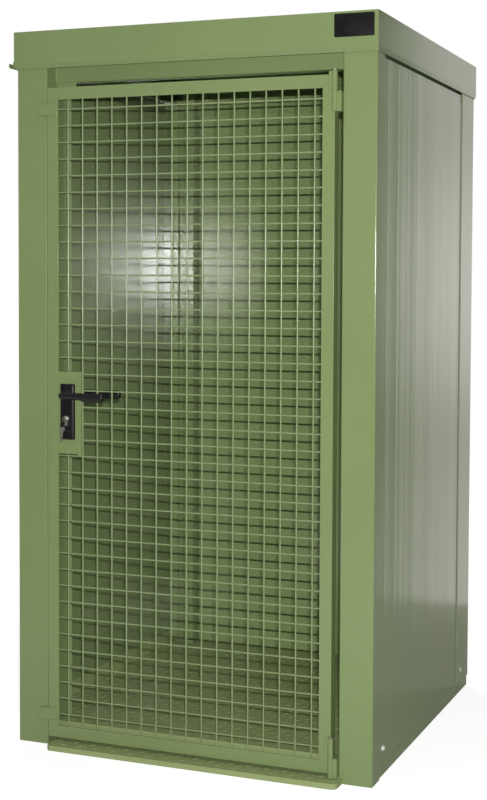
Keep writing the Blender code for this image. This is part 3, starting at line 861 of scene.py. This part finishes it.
def build_keys(face):
    """One key in the plug, a ring through its bow and a spare key hanging from the ring."""
    bow = resized(rounded_outline(*plug_key_bow), plug_key_bow_thinness, 1)
    neck = resized(rounded_outline(*plug_key_neck), plug_key_neck_thinness, 1)
    shape = bmesh.new()
    add_plate(shape, barrel, [
        (face - 0.021, resized(bow, *plug_key_tip_shares)),
        (face - 0.018, bow),
        (face - 0.009, bow),
        (face - 0.006, neck),
        (face + 0.001, neck),
    ])
    ring_centre = Vector((barrel.x, face, barrel.z)) + Vector(ring_from_plug)
    places = []
    for step in range(ring_steps + 1):
        angle = 2 * math.pi * step / ring_steps
        circle = Vector((math.cos(angle), math.sin(angle), math.sin(angle)))
        places.append(ring_centre + circle * Vector(ring_size))
    add_tube(shape, places, [ring_wire] * len(places), ring_wire_sides)
    add_key(shape, ring_centre + Vector(spare_key_from_ring), tilt=12, swing=4)
    finish_piece("keys", shape, key_metal, "door")
    slot = rounded_outline(*keyway)
    shape = bmesh.new()
    add_plate(shape, barrel, [(face - keyway_proud, slot), (face + keyway_sunk, slot)])
    finish_piece("keyway", shape, black_nylon, "door")


def build_plate_edge():
    """The bent edge of the lock plate, beside its flat."""
    low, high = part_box("lock_plate")
    bottom = low.z - plate_edge_half - spindle.z
    outline = rounded_outline(plate_edge_half, bottom, high.z - spindle.z, plate_edge_corner)
    centre = Vector((high.x + plate_edge_half, 0, spindle.z))
    shape = bmesh.new()
    add_plate(shape, centre, [(low.y + plate_edge_depth, outline), (low.y, outline)])
    finish_piece("lock_plate_edge", shape, door_paint, "door")


build_plate_edge()
outer_face = build_backplate("outer_backplate", "outer_escutcheon", -1)
inner_face = build_backplate("inner_backplate", "inner_escutcheon", 1)
build_lever("outer_lever_grip", "outer_lever", outer_face, -1, outer_lever_length)
build_lever("inner_lever_grip", "inner_lever", inner_face, 1, inner_lever_length)
build_keys(build_key_cylinder())

# Hinges and stop lugs


def build_hinge_details(name):
    """A domed cap over the pin, and weld beads beside both knuckles."""
    pin_low, pin_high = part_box(name + "_pin")
    centre = (pin_low + pin_high) / 2
    shape = bmesh.new()
    base = (centre.x, centre.y, pin_high.z - hinge_cap_sunk)
    add_lathe(shape, base, (0, 0, 1), hinge_cap, hinge_cap_sides)
    finish_piece(name + "_cap", shape, weld_paint, "body")
    post_low, post_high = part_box(name + "_post_half")
    x = post_high.x - hinge_post_bead_inset
    y = post_low.y + hinge_post_bead_behind
    shape = bmesh.new()
    for share in hinge_post_bead_levels:
        z = post_low.z + (post_high.z - post_low.z) * share
        add_bead(shape, (x, y, z), (x, y, z + hinge_post_bead_length), hinge_post_bead)
    finish_piece(name + "_post_welds", shape, weld_paint, "body")
    door_low, door_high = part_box(name + "_door_half")
    edge = door_low.x + hinge_door_bead_sunk
    y = leaf_front - hinge_door_bead_sunk
    bottom = door_low.z + hinge_side_bead_inset
    top = door_high.z - hinge_side_bead_inset
    shape = bmesh.new()
    add_bead(shape, (edge, y, bottom), (edge, y, top), hinge_side_bead)
    for z in (door_low.z, door_high.z):
        start = (edge + hinge_end_bead_start, y, z)
        add_bead(shape, start, (door_high.x - hinge_end_bead_stop, y, z), hinge_end_bead)
    finish_piece(name + "_door_welds", shape, weld_paint, "door")


def build_lug_welds():
    """Beads round the foot of both stop lugs."""
    shape = bmesh.new()
    y = leaf_front - lug_bead_sunk
    for node in ("upper_stop_lug", "lower_stop_lug"):
        low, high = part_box(node)
        for z in (low.z, high.z):
            start = (leaf_left + lug_bead_start, y, z)
            add_bead(shape, start, (high.x - lug_bead_stop, y, z), lug_bead)
        start = (high.x, y, low.z + lug_bead_inset)
        add_bead(shape, start, (high.x, y, high.z - lug_bead_inset), lug_bead)
    finish_piece("stop_lug_welds", shape, weld_paint, "door")


build_hinge_details("upper_hinge")
build_hinge_details("lower_hinge")
build_lug_welds()

# Tread pattern


def add_tear(shape, place, lean):
    """A raised lens, long one way, as rolled into tread plate."""
    turn = Matrix.Rotation(lean, 3, "Z")
    rings = []
    for size, lift in tear_rings:
        ring = []
        for step in range(tear_sides):
            angle = 2 * math.pi * step / tear_sides
            narrow = abs(math.sin(angle)) ** 1.3 * math.copysign(1, math.sin(angle))
            x = tear_length / 2 * size * math.cos(angle)
            y = tear_width / 2 * size * narrow
            ring.append(shape.verts.new(place + turn @ Vector((x, y, tear_height * lift))))
        rings.append(ring)
    join_rings(shape, rings)


def build_tread(name, low, high, level):
    """Tears in rows over an area, each leaning the other way from its neighbours."""
    columns = int((high.x - low.x - 2 * tear_margin) / tear_pitch)
    rows = int((high.y - low.y - 2 * tear_margin) / tear_pitch)
    start_x = (low.x + high.x - columns * tear_pitch) / 2
    start_y = (low.y + high.y - rows * tear_pitch) / 2
    shape = bmesh.new()
    for column in range(columns + 1):
        for row in range(rows + 1):
            lean = math.pi / 4 if (column + row) % 2 else -math.pi / 4
            place = Vector((start_x + column * tear_pitch, start_y + row * tear_pitch, level - tear_sunk))
            add_tear(shape, place, lean)
    finish_piece(name, shape, floor_lit_paint, "body")


ramp_low, ramp_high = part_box("threshold_ramp")
tray_low, tray_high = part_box("floor_tray")
sill_low, sill_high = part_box("threshold_sill")
deck_low = Vector((tray_low.x + deck_side_margin, tray_low.y + deck_front_margin, 0))
deck_rear = low_of("rear_left_post").y + deck_behind_post
deck_high = Vector((tray_high.x - deck_side_margin, deck_rear, 0))
build_tread("ramp_tread", ramp_low, Vector((ramp_high.x - ramp_right_margin, ramp_high.y, 0)), ramp_high.z)
build_tread("floor_tread", deck_low, deck_high, sill_high.z)
build_tread("sill_tread", sill_low, sill_high, sill_high.z)

# Bolts, plate and welds on the body

left_wall_low, left_wall_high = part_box("left_wall")
right_wall_low, right_wall_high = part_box("right_wall")
rear_wall_low, rear_wall_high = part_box("rear_wall")
lintel_low, lintel_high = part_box("lintel")
roof_low, roof_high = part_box("roof_pan")
rail_bottom = low_of("left_top_rail").z


def add_dome_bolt(shape, place, axis, height):
    """A washer with a domed head on it."""
    washer_radius = bolt_radius * washer_share
    profile = [(0.0, washer_radius), (washer_edge, washer_radius), (washer_height, bolt_radius)]
    for degrees in dome_degrees:
        turn = math.radians(degrees)
        level = washer_height + (height - washer_height) * math.sin(turn)
        profile.append((level, bolt_radius * math.cos(turn)))
    add_lathe(shape, place, axis, profile, bolt_sides)


def build_wall_bolts():
    """Low on both sides, one bolt through the wall and one through the rear post."""
    front_y = right_wall_low.y + front_bolt_inset
    rear_y = right_wall_high.y + rear_bolt_inset
    shape = bmesh.new()
    for y, right_x, left_x, height in (
        (front_y, right_wall_high.x, left_wall_low.x, wall_bolt_height),
        (rear_y, high_of("rear_right_post").x, low_of("rear_left_post").x, post_bolt_height),
    ):
        add_dome_bolt(shape, (right_x - bolt_sunk, y, bolt_level), (1, 0, 0), height)
        add_dome_bolt(shape, (left_x + bolt_sunk, y, bolt_level), (-1, 0, 0), height)
    # The bolt heads' pale colour is a painted glint.
    finish_piece("wall_bolts", shape, bolt_glint_paint, "body")


def build_sign_plate():
    """A bare black plate at the right of the fascia."""
    centre = Vector((roof_high.x - sign_from_right, 0, roof_high.z - sign_from_top))
    layers = []
    for depth, inset in sign_layers:
        half_height = sign_half_height - inset
        outline = rounded_outline(sign_half_width - inset, -half_height, half_height, sign_corner)
        layers.append((roof_low.y - depth, outline))
    shape = bmesh.new()
    add_plate(shape, centre, layers)
    finish_piece("sign_plate", shape, sign_face, "body")


def build_body_welds():
    """Beads at the ends of the lintel, at the fascia's lower corners and at the top of both walls."""
    shape = bmesh.new()
    y = lintel_low.y
    bottom = lintel_low.z + lintel_bead_foot
    top = lintel_high.z - lintel_bead_head
    for x in (lintel_low.x, lintel_high.x):
        add_bead(shape, (x, y, bottom), (x, y, top), lintel_bead)
    bottom = low_of("left_drip_rail").z + fascia_bead_foot
    for x in (roof_low.x + fascia_bead_inset, roof_high.x - fascia_bead_inset):
        start = Vector((x, roof_low.y + fascia_bead_sunk, bottom))
        add_bead(shape, start, start + Vector((0, 0, fascia_bead_length)), fascia_bead)
    z = right_wall_high.z - wall_bead_drop
    half = wall_bead_length / 2
    for x in (right_wall_high.x + wall_bead_proud, left_wall_low.x - wall_bead_proud):
        for y in (right_wall_low.y + wall_bead_inset, right_wall_high.y - wall_bead_inset):
            add_bead(shape, (x, y - half, z), (x, y + half, z), wall_bead)
    finish_piece("body_welds", shape, weld_paint, "body")


build_wall_bolts()
build_sign_plate()
build_body_welds()

# Trim on the body


def both_posts(place):
    """For the left and the right post: its low and high corners and the way inwards along X."""
    return [(*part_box(place + "_left_post"), 1), (*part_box(place + "_right_post"), -1)]


def build_eaves_strips():
    """Strips behind the air gap under the roof, above the side walls and the rear wall. The side strips
    are near-black painted shade for the gap; the rear strip is body green.
    """
    front = left_wall_low.y + behind_front_post
    rear = left_wall_high.y - eaves_rear_gap
    bottom = left_wall_high.z - eaves_overlap
    top = rail_bottom - eaves_head_gap
    blocks = []
    for wall_face, inward in ((left_wall_high.x, 1), (right_wall_low.x, -1)):
        x = wall_face + inward * eaves_set_in
        blocks.append(((x, front, bottom), (x + inward * eaves_thickness, rear, top)))
    finish_blocks("eaves_shade_strips", blocks, eaves_shade_paint)
    y = rear_wall_low.y - eaves_set_in
    first = (rear_wall_low.x, y - eaves_thickness, bottom)
    finish_blocks("rear_eaves_strip", [(first, (rear_wall_high.x, y, top))], body_paint)


def build_front_post_lips():
    """The front posts' inner returns, seen beside the door's edges."""
    blocks = []
    for low, high, inward in both_posts("front"):
        face = high.x if inward > 0 else low.x
        first = (face - inward * lip_gap, high.y - lip_from_rear, left_wall_low.z + lip_foot)
        second = (face + inward * lip_width, high.y - lip_to_rear, rail_bottom - lip_head)
        blocks.append((first, second))
    finish_blocks("front_post_lips", blocks, cheek_paint)


def build_wall_brims():
    """The upper edge of each side wall, which stands behind the roof's fascia."""
    for side, low, high in (
        ("left", left_wall_low, left_wall_high),
        ("right", right_wall_low, right_wall_high),
    ):
        first = (low.x + brim_inset, low.y + behind_front_post, high.z - brim_overlap)
        second = (high.x - brim_inset, high.y - brim_rear_gap, high.z + brim_height)
        finish_blocks(side + "_wall_brim", [(first, second)], wall_paints[side])


def build_wall_seams():
    """A strip over the lap between each side wall and its rear post: a painted shaded line for the gap
    there, grey like the wall's sheen.
    """
    blocks = []
    for low, high, inward in both_posts("rear"):
        wall_face = left_wall_low.x if inward > 0 else right_wall_high.x
        post_face = low.x if inward > 0 else high.x
        first = (wall_face, low.y - lap_proud, left_wall_low.z + lap_end_gap)
        second = (post_face + inward * lap_inset, low.y, left_wall_high.z - lap_end_gap)
        blocks.append((first, second))
    finish_blocks("wall_gap_shade_strips", blocks, gap_shade_paint)


def build_lintel_gusset():
    """A short plate under the lintel's left end."""
    back = lintel_low.y + gusset_thickness
    first = (lintel_low.x + gusset_inset, lintel_low.y, lintel_low.z - gusset_height)
    second = (lintel_low.x + gusset_width, back, lintel_low.z + gusset_inset)
    finish_blocks("lintel_gusset", [(first, second)], body_paint)


def build_post_strips():
    """Upright strips that close the front of both rear posts, with a groove between two of them."""
    top = rail_bottom - strip_head_gap
    blocks = []
    for low, high, inward in both_posts("rear"):
        outer = low.x if inward > 0 else high.x
        groove = outer + inward * groove_place
        lip_end = outer + inward * (post_width - post_return)
        inner = outer + inward * (post_width - strip_from_inner_side)
        front = high.y - post_depth
        for near, far, y in (
            (outer + inward * strip_from_side, groove, front),
            (groove + inward * groove_width, lip_end - inward * strip_gap, front),
            (lip_end, inner, front - strip_step),
        ):
            blocks.append(((near, y, low.z + strip_foot), (far, y + strip_thickness, top)))
    finish_blocks("post_strips", blocks, rear_post_paint)


def build_post_cheeks():
    """The inner sides of both rear posts."""
    top = rail_bottom - strip_head_gap
    blocks = []
    for low, high, inward in both_posts("rear"):
        face = high.x if inward > 0 else low.x
        first = (face - cheek_half, high.y - post_depth + strip_thickness, low.z + strip_foot)
        blocks.append((first, (face + cheek_half, rear_wall_low.y - cheek_rear_gap, top)))
    finish_blocks("post_cheeks", blocks, cheek_paint)


def build_post_bends():
    """The round bends at the outer corners of both front posts."""
    shape = bmesh.new()
    for low, high, inward in both_posts("front"):
        x = (low.x if inward > 0 else high.x) + inward * bend_inset
        y = low.y + bend_inset
        places = [Vector((x, y, low.z + bend_foot)), Vector((x, y, roof_low.z))]
        add_tube(shape, places, [bend_radius, bend_radius], bend_sides)
    finish_piece("post_bends", shape, body_paint, "body")


build_eaves_strips()
build_front_post_lips()
build_wall_brims()
build_wall_seams()
build_lintel_gusset()
build_post_strips()
build_post_cheeks()
build_post_bends()

# Camera, light and floor

camera_data = bpy.data.cameras.new("camera")
camera_data.lens = lens
camera_data.sensor_width = 36.0
camera_data.shift_x, camera_data.shift_y = lens_shift
camera = bpy.data.objects.new("camera", camera_data)
camera.location = camera_place
camera.rotation_euler = [math.radians(angle) for angle in camera_turn]
bpy.context.scene.collection.objects.link(camera)
bpy.context.scene.camera = camera


def add_area_light(name, place, target, width, height, power, colour=(1, 1, 1)):
    data = bpy.data.lights.new(name, "AREA")
    data.shape = "RECTANGLE"
    data.size = width
    data.size_y = height
    data.energy = power
    data.color = colour
    light = bpy.data.objects.new(name, data)
    light.location = place
    aim = Vector(target) - Vector(place)
    light.rotation_euler = aim.to_track_quat("-Z", "Y").to_euler()
    bpy.context.scene.collection.objects.link(light)
    return light


add_area_light("flash", flash_place, flash_target, flash_width, flash_height, flash_watts)
add_area_light("top", top_place, (0, 0, 0), top_size, top_size, top_watts)
rear_fill = add_area_light("rear_fill", rear_place, rear_target, rear_size, rear_size, rear_watts)
rear_fill.visible_glossy = False


def build_white_board():
    """A white board behind the right side: brightest at lamp height and fading out to its free edge."""
    board = add_area_light(
        "white_panel", board_place, board_target, board_width, board_height, board_watts, board_white
    )
    board.visible_camera = False
    board.data.use_nodes = True
    tree = board.data.node_tree
    place = tree.nodes.new("ShaderNodeSeparateXYZ")
    tree.links.new(tree.nodes.new("ShaderNodeNewGeometry").outputs["Position"], place.inputs["Vector"])
    off_middle = calculate(tree, "SUBTRACT", place.outputs["Z"], board_glow_level)
    glow = remap(tree, calculate(tree, "ABSOLUTE", off_middle), 0.05, 0.75, 0.55, 0.0, smooth=True)
    base = remap(tree, place.outputs["Z"], 0.0, 2.6, 0.83, 1.07)
    fade = remap(tree, place.outputs["X"], 1.02, 1.37, 1.0, 0.0, smooth=True)
    strength = calculate(tree, "MULTIPLY", calculate(tree, "ADD", base, glow), fade)
    tree.links.new(strength, tree.nodes["Emission"].inputs["Strength"])


def build_world():
    """Faint even light, and plain white where the world is seen."""
    world = bpy.data.worlds.new("studio")
    bpy.context.scene.world = world
    world.use_nodes = True
    tree = world.node_tree
    tree.nodes.clear()
    rays = tree.nodes.new("ShaderNodeLightPath")
    mix = tree.nodes.new("ShaderNodeMixShader")
    tree.links.new(rays.outputs["Is Camera Ray"], mix.inputs[0])
    for socket, strength in ((mix.inputs[1], ambient), (mix.inputs[2], 1.0)):
        background = tree.nodes.new("ShaderNodeBackground")
        background.inputs["Color"].default_value = (1, 1, 1, 1)
        background.inputs["Strength"].default_value = strength
        tree.links.new(background.outputs[0], socket)
    out = tree.nodes.new("ShaderNodeOutputWorld")
    tree.links.new(mix.outputs[0], out.inputs["Surface"])


def build_floor():
    """A pale paper floor that keeps the object's shadow and fades into the white behind it."""
    shape = bmesh.new()
    corners = [(-1, -1), (1, -1), (1, 1), (-1, 1)]
    shape.faces.new([shape.verts.new((x * floor_reach, y * floor_reach, floor_level)) for x, y in corners])
    mesh = bpy.data.meshes.new("studio_floor")
    shape.to_mesh(mesh)
    shape.free()
    material, tree, shader = start_material("studio_floor")
    where = object_coordinates(tree)
    soft = remap(tree, noise(tree, where, 1.5, 2.0), 0.3, 0.7, 0.0, 1.0)
    paper = colour_mix(tree, soft, paper_dark, paper_light)
    seen = tree.nodes.new("ShaderNodeLightPath").outputs["Is Camera Ray"]
    tree.links.new(colour_mix(tree, seen, paper, paper_seen), shader.inputs["Base Color"])
    shader.inputs["Roughness"].default_value = 0.8
    length = tree.nodes.new("ShaderNodeVectorMath")
    length.operation = "LENGTH"
    tree.links.new(where, length.inputs[0])
    far = remap(tree, length.outputs["Value"], 1.0, 7.0, 0.77, 0.935)
    shader.inputs["Emission Color"].default_value = (1, 1, 1, 1)
    tree.links.new(calculate(tree, "MULTIPLY", seen, far), shader.inputs["Emission Strength"])
    mesh.materials.append(material)
    floor = bpy.data.objects.new("studio_floor", mesh)
    bpy.context.scene.collection.objects.link(floor)


build_white_board()
build_world()
build_floor()
bpy.context.scene.view_settings.view_transform = "Standard"
